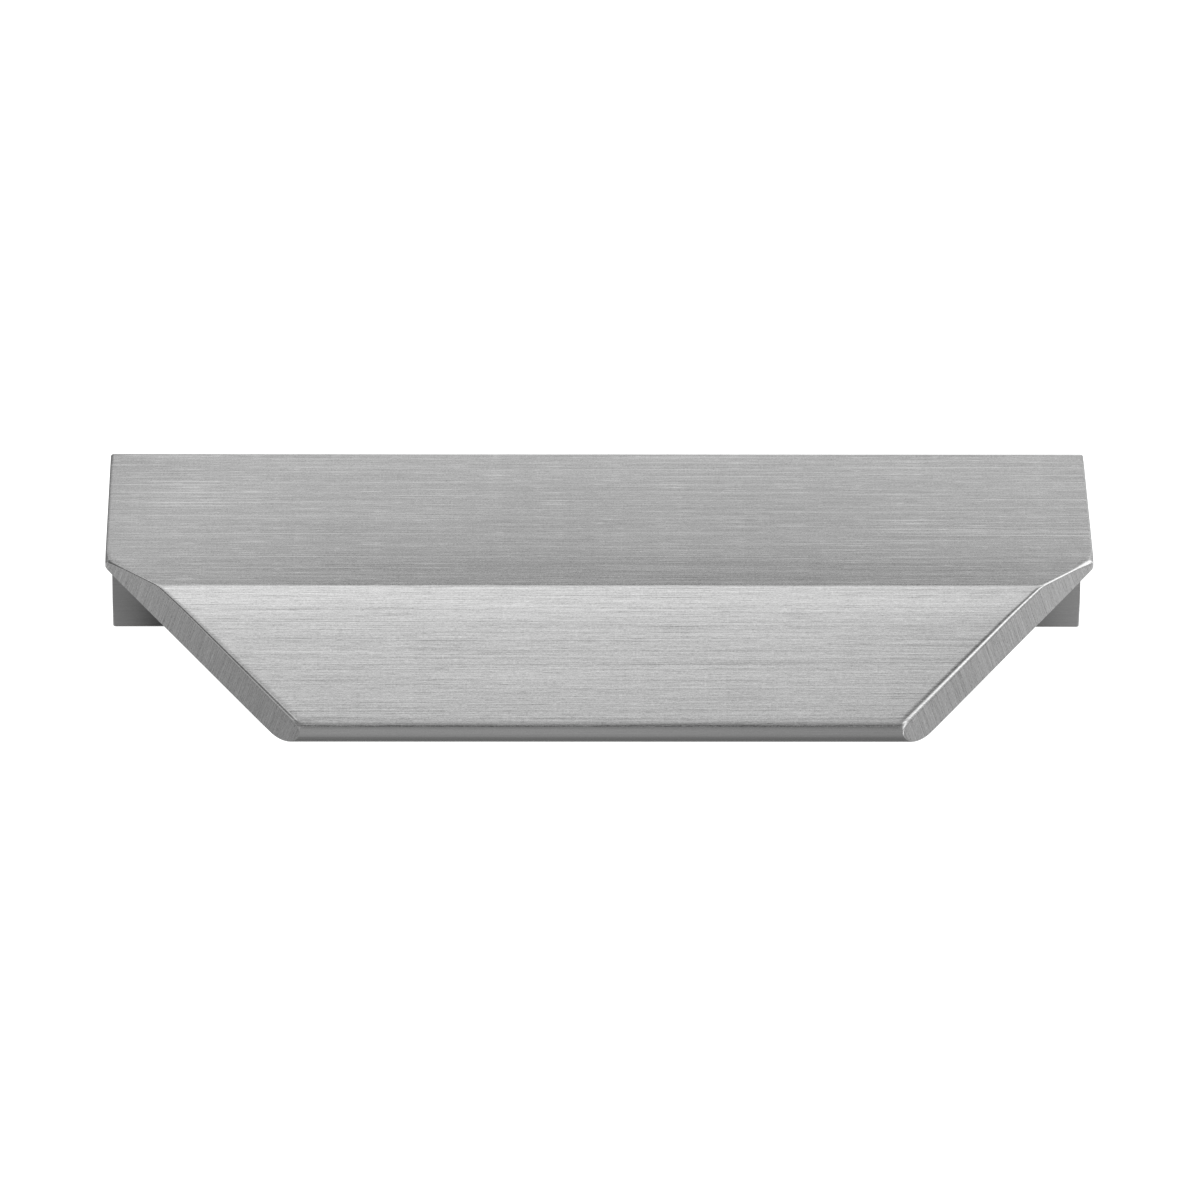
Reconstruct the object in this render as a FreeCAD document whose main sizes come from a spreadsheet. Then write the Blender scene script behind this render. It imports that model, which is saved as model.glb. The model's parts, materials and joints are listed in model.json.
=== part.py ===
import FreeCAD, Part
import math
import os
import Sketcher

# Tab pull for the top edge of a drawer front, cut from one length of metal section.
# A thin plate lies over the drawer's top edge, a flange behind it is screwed to the back of
# the front, and a thicker tab slopes down before it. Both front corners are mitred off.
# Millimetres and degrees: +X along the pull, -Y out to the room, +Z up. The origin is the
# middle of the inside corner, where the plate's underside meets the flange's front face.

SIZES = {
    # the plate over the drawer's top edge, and the level seat under it
    "length": 101.6,
    "plate_thickness": 1.0,
    "seat_depth": 21.8,
    # the flange behind the drawer front, below the plate's underside
    "flange_thickness": 2.0,
    "flange_drop": 18.65,
    # the tab, which slopes below level from the fold to the nose
    "tab_angle": 30,
    "tab_thickness": 3.68,
    "tab_length": 17.33,
    # the mitred corners, which start where the underside starts to slope
    "mitre_angle": 45,
    # rounds of the section, and the eased rim of the sawn ends
    "fold_radius": 1.0,
    "nose_upper_radius": 1.5,
    "nose_lower_radius": 2.0,
    "back_radius": 0.3,
    "foot_radius": 0.35,
    "rim_radius": 0.12,
    # the most of a wall that one round may take
    "round_share": 0.48,
    "nose_upper_share": 0.42,
    "nose_lower_share": 0.55,
    # countersunk screw holes in the flange, from the ends and from the foot
    "hole_inset": 12.7,
    "hole_rise": 8.65,
    "hole_diameter": 3.4,
    "sink_diameter": 6.0,
    "sink_angle": 90,
    "drill_overrun": 1.0,
}

# how a sketch numbers a line's ends, a circle's centre, and its own axes and origin
START, END, CENTRE = range(1, 4)
UPRIGHT_AXIS, LEVEL_AXIS = range(-2, 0)
ORIGIN = (LEVEL_AXIS, START)

# the section's lines, in order round it from the flange's heel
FOOT, FLANGE_FRONT, PLATE_UNDER, TAB_UNDER, NOSE, TAB_TOP, PLATE_TOP, FLANGE_BACK = range(8)


def make_sheet(doc):
    """Puts every driving size in a sheet, under its own name."""
    sheet = doc.addObject("Spreadsheet::Sheet", "sizes")
    for row, (name, value) in enumerate(SIZES.items(), start=1):
        sheet.set(f"A{row}", name)
        sheet.set(f"B{row}", str(value))
        sheet.setAlias(f"B{row}", name)
    doc.recompute()


def origin_plane(body, role):
    """Finds one of the body's own origin planes."""
    return next(feature for feature in body.Origin.OriginFeatures if feature.Role == role)


def make_sketch(body, name, role):
    """Starts a sketch on one of the body's own origin planes."""
    sketch = body.newObject("Sketcher::SketchObject", name)
    sketch.AttachmentSupport = (origin_plane(body, role), "")
    sketch.MapMode = "FlatFace"
    return sketch


def close_outline(sketch, corners):
    """Draws straight lines from corner to corner and joins them into a closed outline."""
    count = len(corners)
    for index in range(count):
        line = Part.LineSegment(corners[index], corners[(index + 1) % count])
        sketch.addGeometry(line)
    for index in range(count):
        join = Sketcher.Constraint("Coincident", index, END, (index + 1) % count, START)
        sketch.addConstraint(join)


def value_now(sketch, expression):
    """Gives the number that an expression on the sheet has now, in millimetres or degrees."""
    value = sketch.evalExpression(expression)
    return getattr(value, "Value", value)


def drive(sketch, kind, places, expression):
    """Adds a dimension that the sheet drives; it starts at the value that the sheet gives."""
    number = value_now(sketch, expression)
    start = math.radians(number) if kind == "Angle" else number
    index = sketch.addConstraint(Sketcher.Constraint(kind, *places, start))
    sketch.setExpression(f"Constraints[{index}]", expression)


def round_corner(sketch, line, end, radius, wall, share="round_share"):
    """Rounds one corner of an outline, by no more than its wall's share; the sharp corner stays as a
    point for the dimensions."""
    limited = f"min(sizes.{radius}; sizes.{share} * sizes.{wall})"
    arc = sketch.GeometryCount
    trim_lines = keep_corner = True
    sketch.fillet(line, end, value_now(sketch, limited), trim_lines, keep_corner)
    drive(sketch, "Radius", (arc,), limited)


def draw_section(body):
    """Draws the extruded section, looking along the pull: flange, plate and tab."""
    sketch = make_sketch(body, "section", "YZ_Plane")
    slope = math.radians(SIZES["tab_angle"])
    along_tab = FreeCAD.Vector(-math.cos(slope), -math.sin(slope), 0) * SIZES["tab_length"]
    heel = FreeCAD.Vector(SIZES["flange_thickness"], -SIZES["flange_drop"], 0)
    toe = FreeCAD.Vector(0, -SIZES["flange_drop"], 0)
    seat = FreeCAD.Vector(0, 0, 0)
    root = FreeCAD.Vector(-SIZES["seat_depth"], 0, 0)
    fold = FreeCAD.Vector(-SIZES["seat_depth"] - SIZES["tab_thickness"], SIZES["plate_thickness"], 0)
    back = FreeCAD.Vector(SIZES["flange_thickness"], SIZES["plate_thickness"], 0)
    close_outline(sketch, [heel, toe, seat, root, root + along_tab, fold + along_tab, fold, back])

    for line in (FOOT, PLATE_UNDER, PLATE_TOP):
        sketch.addConstraint(Sketcher.Constraint("Horizontal", line))
    for line in (FLANGE_FRONT, FLANGE_BACK):
        sketch.addConstraint(Sketcher.Constraint("Vertical", line))
    sketch.addConstraint(Sketcher.Constraint("Parallel", TAB_UNDER, TAB_TOP))
    sketch.addConstraint(Sketcher.Constraint("Perpendicular", NOSE, TAB_TOP))
    sketch.addConstraint(Sketcher.Constraint("Coincident", PLATE_UNDER, START, *ORIGIN))

    drive(sketch, "DistanceX", (FOOT, END, FOOT, START), "sizes.flange_thickness")
    drive(sketch, "DistanceY", (FLANGE_FRONT, START, FLANGE_FRONT, END), "sizes.flange_drop")
    drive(sketch, "DistanceX", (PLATE_UNDER, END, PLATE_UNDER, START), "sizes.seat_depth")
    drive(sketch, "DistanceY", (PLATE_UNDER, START, PLATE_TOP, START), "sizes.plate_thickness")
    drive(sketch, "Angle", (TAB_TOP,), "sizes.tab_angle * 1 deg")
    drive(sketch, "Distance", (TAB_UNDER, END, TAB_TOP), "sizes.tab_thickness")
    drive(sketch, "Distance", (TAB_TOP, START, TAB_TOP, END), "sizes.tab_length")

    round_corner(sketch, FOOT, START, "foot_radius", "flange_thickness")
    round_corner(sketch, FOOT, END, "foot_radius", "flange_thickness")
    round_corner(sketch, NOSE, START, "nose_lower_radius", "tab_thickness", "nose_lower_share")
    round_corner(sketch, NOSE, END, "nose_upper_radius", "tab_thickness", "nose_upper_share")
    round_corner(sketch, PLATE_TOP, START, "fold_radius", "tab_thickness")
    round_corner(sketch, PLATE_TOP, END, "back_radius", "plate_thickness")
    return sketch


def extrude_section(body, section):
    """Carries the section along the pull, half to each side of the middle."""
    extrusion = body.newObject("PartDesign::Pad", "extrusion")
    extrusion.Profile = section
    extrusion.SideType = "Symmetric"
    extrusion.setExpression("Length", "sizes.length")
    return extrusion


def saw_mitres(body):
    """Saws the front corner off the right end, from the root of the tab past its nose, then the left."""
    sketch = make_sketch(body, "mitre_outline", "XY_Plane")
    half_length = SIZES["length"] / 2
    reach = SIZES["tab_length"] + SIZES["tab_thickness"]
    start = FreeCAD.Vector(half_length, -SIZES["seat_depth"], 0)
    outer = start - FreeCAD.Vector(0, reach, 0)
    inner = outer - FreeCAD.Vector(reach, 0, 0)
    close_outline(sketch, [start, outer, inner])
    end_side, front_side, sawn_side = range(3)
    sketch.addConstraint(Sketcher.Constraint("Vertical", end_side))
    sketch.addConstraint(Sketcher.Constraint("Horizontal", front_side))
    drive(sketch, "DistanceX", (*ORIGIN, end_side, START), "sizes.length / 2")
    drive(sketch, "DistanceY", (end_side, START, *ORIGIN), "sizes.seat_depth")
    past_nose = "sizes.tab_length + sizes.tab_thickness / sin(sizes.tab_angle * 1 deg)"
    drive(sketch, "DistanceY", (end_side, END, end_side, START), past_nose)
    drive(sketch, "Angle", (sawn_side,), "90 deg - sizes.mitre_angle * 1 deg")

    right_cut = body.newObject("PartDesign::Pocket", "right_mitre")
    right_cut.Profile = sketch
    right_cut.Type = "ThroughAll"
    right_cut.SideType = "Symmetric"
    both_cuts = body.newObject("PartDesign::Mirrored", "both_mitres")
    both_cuts.Originals = [right_cut]
    both_cuts.MirrorPlane = (origin_plane(body, "YZ_Plane"), [""])
    body.Tip = both_cuts
    return right_cut, both_cuts


def ease_rims(body, base):
    """Rounds every edge of the sawn faces, the only flat faces that aren't parallel to the pull."""
    flat = [face for face in base.Shape.Faces if isinstance(face.Surface, Part.Plane)]
    sawn = [face for face in flat if not math.isclose(face.Surface.Axis.x, 0, abs_tol=1e-6)]
    sawn_edges = [edge for face in sawn for edge in face.Edges]
    rim = []
    for number, edge in enumerate(base.Shape.Edges, start=1):
        if any(edge.isSame(other) for other in sawn_edges):
            rim.append(f"Edge{number}")
    easing = body.newObject("PartDesign::Fillet", "eased_rims")
    easing.Base = (base, rim)
    easing.setExpression("Radius", "min(sizes.rim_radius; sizes.round_share * sizes.plate_thickness)")
    return easing


def drill_screw_holes(doc, body):
    """Drills the two screw holes through the flange, countersunk on its back face."""
    sketch = make_sketch(body, "hole_places", "XZ_Plane")
    sketch.setExpression("AttachmentOffset.Base.z", "-sizes.flange_thickness")
    radius = SIZES["hole_diameter"] / 2
    across = SIZES["length"] / 2 - SIZES["hole_inset"]
    level = SIZES["hole_rise"] - SIZES["flange_drop"]
    left, right = range(2)
    for side in (-1, 1):
        centre = FreeCAD.Vector(side * across, level, 0)
        sketch.addGeometry(Part.Circle(centre, FreeCAD.Vector(0, 0, 1), radius))
    sketch.addConstraint(Sketcher.Constraint("Equal", left, right))
    sketch.addConstraint(Sketcher.Constraint("Symmetric", left, CENTRE, right, CENTRE, UPRIGHT_AXIS))
    drive(sketch, "Diameter", (left,), "sizes.hole_diameter")
    drive(sketch, "DistanceX", (left, CENTRE, right, CENTRE), "sizes.length - 2 * sizes.hole_inset")
    drive(sketch, "DistanceY", (right, CENTRE, *ORIGIN), "sizes.flange_drop - sizes.hole_rise")

    holes = body.newObject("PartDesign::Hole", "screw_holes")
    holes.Profile = sketch
    doc.recompute()
    holes.ThreadType = "None"
    holes.DepthType = "Dimension"
    holes.DrillPoint = "Flat"
    holes.HoleCutType = "Countersink"
    holes.Reversed = True
    holes.setExpression("Depth", "sizes.flange_thickness + sizes.drill_overrun")
    holes.setExpression("Diameter", "sizes.hole_diameter")
    holes.setExpression("HoleCutDiameter", "sizes.sink_diameter")
    holes.setExpression("HoleCutCountersinkAngle", "sizes.sink_angle")
    return holes


def check_cut(before, after):
    """Stops if a cut took nothing off the solid."""
    if after.Shape.Volume >= before.Shape.Volume:
        raise RuntimeError(f"{after.Name} cuts nothing")


def check_document(doc, body):
    """Stops if any object failed, or if the body isn't one valid solid."""
    for thing in doc.Objects:
        if "Invalid" in thing.State or "Error" in thing.State:
            raise RuntimeError(f"{thing.Name} failed: {thing.State}")
    if body.Shape.isNull() or not body.Shape.isValid() or len(body.Shape.Solids) != 1:
        raise RuntimeError(f"{body.Label} isn't one valid solid")


def main():
    doc = FreeCAD.newDocument("tab_pull")
    make_sheet(doc)
    body = doc.addObject("PartDesign::Body", "tab_pull")
    body.Label = "tab_pull"

    section = draw_section(body)
    extrusion = extrude_section(body, section)
    doc.recompute()
    right_cut, both_cuts = saw_mitres(body)
    doc.recompute()
    check_cut(extrusion, right_cut)
    check_cut(right_cut, both_cuts)
    easing = ease_rims(body, both_cuts)
    doc.recompute()
    check_cut(both_cuts, easing)
    holes = drill_screw_holes(doc, body)
    doc.recompute()
    check_cut(easing, holes)

    check_document(doc, body)
    os.makedirs("parts", exist_ok=True)
    body.Shape.exportStep(f"parts/{body.Label}.step")


main()
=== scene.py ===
import json
import math

import bpy
import numpy as np
from mathutils import Matrix, Vector


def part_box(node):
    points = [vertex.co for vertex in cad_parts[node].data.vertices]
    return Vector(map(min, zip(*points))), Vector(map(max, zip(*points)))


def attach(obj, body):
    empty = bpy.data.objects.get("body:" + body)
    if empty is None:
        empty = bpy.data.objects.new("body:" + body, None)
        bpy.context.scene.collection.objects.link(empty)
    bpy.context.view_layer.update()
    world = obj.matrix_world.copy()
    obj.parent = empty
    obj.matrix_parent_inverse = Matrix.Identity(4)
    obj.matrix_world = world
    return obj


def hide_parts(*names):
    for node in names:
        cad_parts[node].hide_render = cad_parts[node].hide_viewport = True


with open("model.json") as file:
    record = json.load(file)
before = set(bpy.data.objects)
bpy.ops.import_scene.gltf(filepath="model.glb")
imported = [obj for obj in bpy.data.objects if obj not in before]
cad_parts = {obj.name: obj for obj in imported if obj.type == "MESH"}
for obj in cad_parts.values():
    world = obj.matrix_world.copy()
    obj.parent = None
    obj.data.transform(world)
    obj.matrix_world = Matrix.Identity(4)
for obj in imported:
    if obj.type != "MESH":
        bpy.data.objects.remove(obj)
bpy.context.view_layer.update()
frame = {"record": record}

# Tab pull of brushed metal. Metres, in the CAD frame: +X along the pull, -Y out to the room, +Z up.
# The origin is the middle of the inside corner under the plate.

MM = 0.001
pull_low, pull_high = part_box("tab_pull")
screw_holes = next(mount for mount in frame["record"]["mounts"] if mount["name"] == "screw_holes")

# From the frame: the pull's reach, and the screw holes' places and bore
HALF_LENGTH = pull_high.x
FLANGE_BACK = pull_high.y
NOSE_FRONT = pull_low.y
PLATE_TOP = pull_high.z
FOOT = pull_low.z
HOLE_ACROSS = screw_holes["dims"]["spacing_x_mm"] * MM / 2
HOLE_LEVEL = screw_holes["pos_m"][2]
HOLE_RADIUS = screw_holes["dims"]["hole_r_mm"] * MM

# The section's other sizes
SEAT_DEPTH = 21.8 * MM
TAB_SLOPE = math.radians(30)
TAB_THICKNESS = 3.68 * MM
TAB_LENGTH = 17.33 * MM
NOSE_TOP_ROUND = 1.5 * MM
NOSE_LOW_ROUND = 1.93 * MM
BACK_ROUND = 0.3 * MM
FOOT_ROUND = 0.35 * MM
SINK_RADIUS = 3.0 * MM

# The section's directions and corners, (y, z), as if the fold and the nose were sharp. TAB_RISE is how
# far the tab's top, carried on to the root, would stand over the plate
UP, DOWN, FRONT, BACK = (0, 1), (0, -1), (-1, 0), (1, 0)
ALONG_TAB = np.array([-math.cos(TAB_SLOPE), -math.sin(TAB_SLOPE)])
ABOVE_TAB = np.array([-math.sin(TAB_SLOPE), math.cos(TAB_SLOPE)])
TAB_RISE = TAB_THICKNESS / math.cos(TAB_SLOPE) - PLATE_TOP
ROOT = np.array([-SEAT_DEPTH, 0.0])
FOLD = np.array([-SEAT_DEPTH - TAB_RISE / math.tan(TAB_SLOPE), PLATE_TOP])
TIP = FOLD + ALONG_TAB * TAB_LENGTH
LOW_TIP = TIP - ABOVE_TAB * TAB_THICKNESS

# The fold's turns: a slight one over the tab's root, the tight core, and a slight one down the tab.
# Each has its part of the whole turn, its place along the top from the fold, and half its width
ROOT_TURN = (0.033, -6.2 * MM, 1.8 * MM)
CORE_TURN = (0.857, 0.0, 0.5 * MM)
TAB_TURN = (0.11, 3.2 * MM, 1.8 * MM)

# How far round the nose the brushing goes: the turn from the tab's top, in degrees, where its last
# line starts and where that ends
BRUSH_FADE = 31
BRUSH_END = 38

# The mitre seen from above: its angle, the round of the corner where it starts, and how that round lies
MITRE = math.radians(45)
MITRE_ROUND = 0.8 * MM
ROUND_START = MITRE_ROUND * math.tan(MITRE / 2) - SEAT_DEPTH
ROUND_DEPTH = MITRE_ROUND * math.sin(MITRE)

# The rims of the sawn ends, eased above and all but sharp underneath: the top one's reach along the pull
# and its drop, and the sizes of the others
TOP_RIM_REACH = 0.4 * MM
TOP_RIM_DROP = 0.16 * MM
BACK_RIM = 0.36 * MM
LOW_RIM = 0.06 * MM
FOOT_RIM = 0.32 * MM
NOSE_RIM = 0.17 * MM
# where the low rim passes into the foot's and the nose's: how far from the foot and from the front
FOOT_RIM_RANGE = (1 * MM, 3 * MM)
NOSE_RIM_RANGE = (2 * MM, 4 * MM)
# faces that look up by this much have the whole top rim
TOP_RIM_FACING = math.radians(40)
# how many times its size wear adds to the top rim at the nose and at the mitre's corner, and how far the
# wear of a corner spreads
NOSE_WEAR = 1.8
CORNER_WEAR = 2.2
CORNER_SPREAD = 1.2 * MM

# The finishes, in the order of the piece's material slots
PLATE, TAB, BRUSH_LINE, NOSE, SAWN, RIM, SATIN = range(7)

# How fine the grids are: steps along each stretch of the section
FOOT_STEPS = 6
FLANGE_LOW_STEPS = 3
FLANGE_TOP_STEPS = 4
CORNER_STEPS = 4
PLATE_STEPS = 8
NEAR_MITRE_STEPS = 10
MITRE_STEPS = 8
ROOT_STEPS = 4
FOLD_SIDE_STEPS = 8
FOLD_CORE_STEPS = 14
TAB_STEPS = 10
NOSE_TOP_STEPS = 6
BRUSH_LINE_STEPS = 4
NOSE_LOW_STEPS = 8
# steps along the pull: from its middle to a hole's field, and from there to the end
MIDDLE_STEPS = 7
END_STEPS = 4
# steps across walls and rims, along each side of a hole's field, and down its bore
WALL_STEPS = 4
RIM_STEPS = 8
HOLE_SIDE_STEPS = 8
BORE_STEPS = 2
# the steps of a rim that the brushing runs over, and the one from which on it is as the sawn face
BRUSHED_RIM_STEPS = 3
SAWN_RIM_START = 6
# half the square field round a hole, and how far a finer grid goes beside the inside corner and the fold
HOLE_FIELD = 4.2 * MM
INSIDE_CORNER = 0.5 * MM
FOLD_REACH = 4.5 * MM
# the y where the finer grid starts behind the mitre's corner: three spreads back, where its wear has ended
NEAR_MITRE = ROUND_START + 3 * CORNER_SPREAD
# shares of the tab's underside, from the root, that lie under the ends and the middle of the fold's grid
UNDER_FOLD = (0.04, 0.27, 0.5)
# how many steps the fold's running sum has
FOLD_SUM_STEPS = 4000
# points in one cell of this size are one; the shift keeps the cells' bounds off round measures
WELD = 0.1e-3 * MM
WELD_SHIFT = 0.382
# directions whose cosine is over this count as one
SAME_WAY = 0.99


def straight(start, end, outward, steps):
    """Evenly spaced points from start to end, (y, z), all with one outward direction."""
    share = np.linspace(0.0, 1.0, steps + 1)[:, None]
    points = np.asarray(start) + share * (np.asarray(end) - np.asarray(start))
    return points, np.tile(np.asarray(outward, float), (steps + 1, 1))


def upright(y, levels, outward):
    """Points at one y and the given levels, all with one outward direction."""
    points = np.stack([np.full(len(levels), y), levels], axis=1)
    return points, np.tile(np.asarray(outward, float), (len(levels), 1))


def arc(centre, radius, first, last, steps):
    """Points of a circle from one angle to another, in degrees from +Y towards +Z; the outward direction
    is along the radius."""
    angle = np.radians(np.linspace(first, last, steps + 1))
    outward = np.stack([np.cos(angle), np.sin(angle)], axis=1)
    return np.asarray(centre) + radius * outward, outward


def smooth_step(share):
    """0 before -1, 1 after 1, and between them the cubic that starts and ends level."""
    share = np.clip(share, -1.0, 1.0)
    return 0.5 + 0.75 * share - 0.25 * share ** 3


def fold_turn(along):
    """How far the top has turned down at places along it: a smooth step for each of the fold's turns."""
    steps = [part * smooth_step((along - place) / half_width)
             for part, place, half_width in (ROOT_TURN, CORE_TURN, TAB_TURN)]
    return TAB_SLOPE * sum(steps)


def fold_curve():
    """The top from plate to tab: its points are the running sum of the direction along its turn, slid
    along the plate until the far end lies on the tab's top. Gives a function of y for the points and
    outward directions there, and the y of grid lines across the fold."""
    first, last = ROOT_TURN[1] - ROOT_TURN[2], TAB_TURN[1] + TAB_TURN[2]
    along = np.linspace(first, last, FOLD_SUM_STEPS + 1)
    turned = fold_turn(along)
    heading = np.stack([-np.cos(turned), -np.sin(turned)], axis=1)
    steps = (heading[1:] + heading[:-1]) / 2 * np.diff(along)[:, None]
    path = np.concatenate([np.zeros((1, 2)), np.cumsum(steps, axis=0)])
    slide = FOLD[0] + path[-1, 1] / math.tan(TAB_SLOPE) - path[-1, 0]
    path += (slide, FOLD[1])

    def top_at(y):
        level = np.interp(-y, -path[:, 0], path[:, 1])
        turn = fold_turn(np.interp(-y, -path[:, 0], along))
        return np.stack([y, level], axis=1), np.stack([-np.sin(turn), np.cos(turn)], axis=1)

    core = CORE_TURN[2]
    stations = np.concatenate([np.linspace(-FOLD_REACH, -core, FOLD_SIDE_STEPS + 1)[:-1],
                               np.linspace(-core, core, FOLD_CORE_STEPS + 1)[:-1],
                               np.linspace(core, last, FOLD_SIDE_STEPS + 1)])
    return top_at, np.interp(stations, along, path[:, 0])


def nose_pair(first, last, steps, finish):
    """The nose between two turns from the tab's faces, in degrees: the arc on the tab's top, and the arc
    on its underside that mirrors it."""
    face = 90 + math.degrees(TAB_SLOPE)
    middle = TIP - (ALONG_TAB + ABOVE_TAB) * NOSE_TOP_ROUND
    low_middle = LOW_TIP - (ALONG_TAB - ABOVE_TAB) * NOSE_LOW_ROUND
    top = arc(middle, NOSE_TOP_ROUND, face + first, face + last, steps)
    low = arc(low_middle, NOSE_LOW_ROUND, face + 180 - first, face + 180 - last, steps)
    return top, finish, low, NOSE


def section_runs():
    """The section as a bent strip of paired runs, from the foot round to the nose: the outer side over
    the flange's back, the plate and the tab, and the inner side under them. Each pair has as many
    points on both sides. The foot and the nose close the strip's two ends."""
    foot_top = FOOT + FOOT_ROUND
    hole_levels = HOLE_LEVEL + hole_field_lines()
    field_low, field_high = HOLE_LEVEL - HOLE_FIELD, HOLE_LEVEL + HOLE_FIELD
    back_middle = (FLANGE_BACK - BACK_ROUND, PLATE_TOP - BACK_ROUND)
    round_end = ROUND_START - ROUND_DEPTH
    tab_end = TIP - ALONG_TAB * NOSE_TOP_ROUND
    under_end = LOW_TIP - ALONG_TAB * NOSE_LOW_ROUND
    under_a, under_b, under_c = (ROOT + (under_end - ROOT) * share for share in UNDER_FOLD)
    top_at, fold_lines = fold_curve()
    half_fold = len(fold_lines) // 2

    def top_run(first, last, steps):
        return top_at(np.linspace(first, last, steps + 1))

    pairs = [
        # the flange, from the foot up, with the band of the screw holes
        (arc((FLANGE_BACK - FOOT_ROUND, foot_top), FOOT_ROUND, -90, 0, FOOT_STEPS), SATIN,
         arc((FOOT_ROUND, foot_top), FOOT_ROUND, -90, -180, FOOT_STEPS), SATIN),
        (straight((FLANGE_BACK, foot_top), (FLANGE_BACK, field_low), BACK, FLANGE_LOW_STEPS), SATIN,
         straight((0, foot_top), (0, field_low), FRONT, FLANGE_LOW_STEPS), SATIN),
        (upright(FLANGE_BACK, hole_levels, BACK), SATIN,
         upright(0, hole_levels, FRONT), SATIN),
        (straight((FLANGE_BACK, field_high), (FLANGE_BACK, back_middle[1]), BACK, FLANGE_TOP_STEPS), SATIN,
         straight((0, field_high), (0, -INSIDE_CORNER), FRONT, FLANGE_TOP_STEPS), SATIN),
        # the corner over the flange, and the inside corner under it
        (arc(back_middle, BACK_ROUND, 0, 45, CORNER_STEPS), RIM,
         straight((0, -INSIDE_CORNER), (0, 0), FRONT, CORNER_STEPS), SATIN),
        (arc(back_middle, BACK_ROUND, 45, 90, CORNER_STEPS), RIM,
         straight((0, 0), (-INSIDE_CORNER, 0), DOWN, CORNER_STEPS), SATIN),
        # the plate, the round of the mitre's corner, and the plate up to the fold
        (straight((back_middle[0], PLATE_TOP), (NEAR_MITRE, PLATE_TOP), UP, PLATE_STEPS), PLATE,
         straight((-INSIDE_CORNER, 0), (NEAR_MITRE, 0), DOWN, PLATE_STEPS), SATIN),
        (top_run(NEAR_MITRE, ROUND_START, NEAR_MITRE_STEPS), PLATE,
         straight((NEAR_MITRE, 0), (ROUND_START, 0), DOWN, NEAR_MITRE_STEPS), SATIN),
        (top_run(ROUND_START, round_end, MITRE_STEPS), PLATE,
         straight((ROUND_START, 0), ROOT, DOWN, MITRE_STEPS), SATIN),
        (top_run(round_end, fold_lines[0], ROOT_STEPS), PLATE,
         straight(ROOT, under_a, -ABOVE_TAB, ROOT_STEPS), SATIN),
        # the fold, the tab and its nose
        (top_at(fold_lines[:half_fold + 1]), PLATE,
         straight(under_a, under_b, -ABOVE_TAB, half_fold), SATIN),
        (top_at(fold_lines[half_fold:]), TAB,
         straight(under_b, under_c, -ABOVE_TAB, half_fold), SATIN),
        (straight(top_at(fold_lines[-1:])[0][0], tab_end, ABOVE_TAB, TAB_STEPS), TAB,
         straight(under_c, under_end, -ABOVE_TAB, TAB_STEPS), SATIN),
        nose_pair(0, BRUSH_FADE, NOSE_TOP_STEPS, TAB),
        nose_pair(BRUSH_FADE, BRUSH_END, BRUSH_LINE_STEPS, BRUSH_LINE),
        nose_pair(BRUSH_END, 90, NOSE_LOW_STEPS, NOSE),
    ]
    foot = straight((FLANGE_BACK - FOOT_ROUND, FOOT), (FOOT_ROUND, FOOT), DOWN, WALL_STEPS)
    nose = straight(TIP - ABOVE_TAB * NOSE_TOP_ROUND, LOW_TIP + ABOVE_TAB * NOSE_LOW_ROUND,
                    ALONG_TAB, WALL_STEPS)
    return pairs, (foot, SATIN), (nose, NOSE)


def hole_field_lines():
    """Where grid lines cross the square field round a hole: the tangents of even angles from -45 to 45
    degrees, so that lines from the hole's middle meet them."""
    return HOLE_FIELD * np.tan(np.linspace(-math.pi / 4, math.pi / 4, HOLE_SIDE_STEPS + 1))


def hole_angles():
    """The even angles round a hole, from the field's corner at -45 degrees once round."""
    return np.linspace(-math.pi / 4, math.pi * 7 / 4, 4 * HOLE_SIDE_STEPS + 1)


def length_lines():
    """Where grid lines cross the pull's length, as shares of half its length to the rim: the fields of
    the screw holes, and even steps between them and out to the ends."""
    reach = HALF_LENGTH - LOW_RIM
    field = HOLE_ACROSS + hole_field_lines()
    right = np.concatenate([np.linspace(0, field[0], MIDDLE_STEPS + 1)[:-1], field,
                            np.linspace(field[-1], reach, END_STEPS + 1)[1:]])
    return np.concatenate([-right[:0:-1], right]) / reach


def offset_of(outward, before, after):
    """Which way the rim moves in from a run's points: along the outward direction, or at an inside
    corner along the line between the two sides, so that both meet there."""
    offset = outward.copy()
    for end, other in ((0, before), (-1, after)):
        if other @ outward[end] < SAME_WAY:
            both = outward[end] + other
            offset[end] = both / (1 + outward[end] @ other)
    return offset


def rim_size(points, outward, top):
    """The rim's size beside points of the section: a lesser one where they face level or down, passing
    with a smooth step into the top one where they face up enough. The lesser one grows evenly into the
    foot's and the nose's own. The top one grows evenly from the tab's root to the nose, and by a bell
    curve about the corner where the mitre starts, and by another one it passes into the back edge's own."""
    y, z = points.T
    low = LOW_RIM + np.interp(z - FOOT, FOOT_RIM_RANGE, (FOOT_RIM - LOW_RIM, 0.0))
    low = low + np.interp(y - NOSE_FRONT, NOSE_RIM_RANGE, (NOSE_RIM - LOW_RIM, 0.0))
    from_corner = (y + SEAT_DEPTH) / CORNER_SPREAD
    from_back = (y - FLANGE_BACK) / CORNER_SPREAD
    down_tab = np.clip((-SEAT_DEPTH - y) / (-SEAT_DEPTH - NOSE_FRONT), 0.0, 1.0)
    top = top * (1 + NOSE_WEAR * down_tab + CORNER_WEAR * np.exp(-from_corner ** 2))
    top = top + (BACK_RIM - top) * np.exp(-from_back ** 2)
    half_rise = math.sin(TOP_RIM_FACING) / 2
    return low + (top - low) * smooth_step(outward[:, 1] / half_rise - 1)


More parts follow.
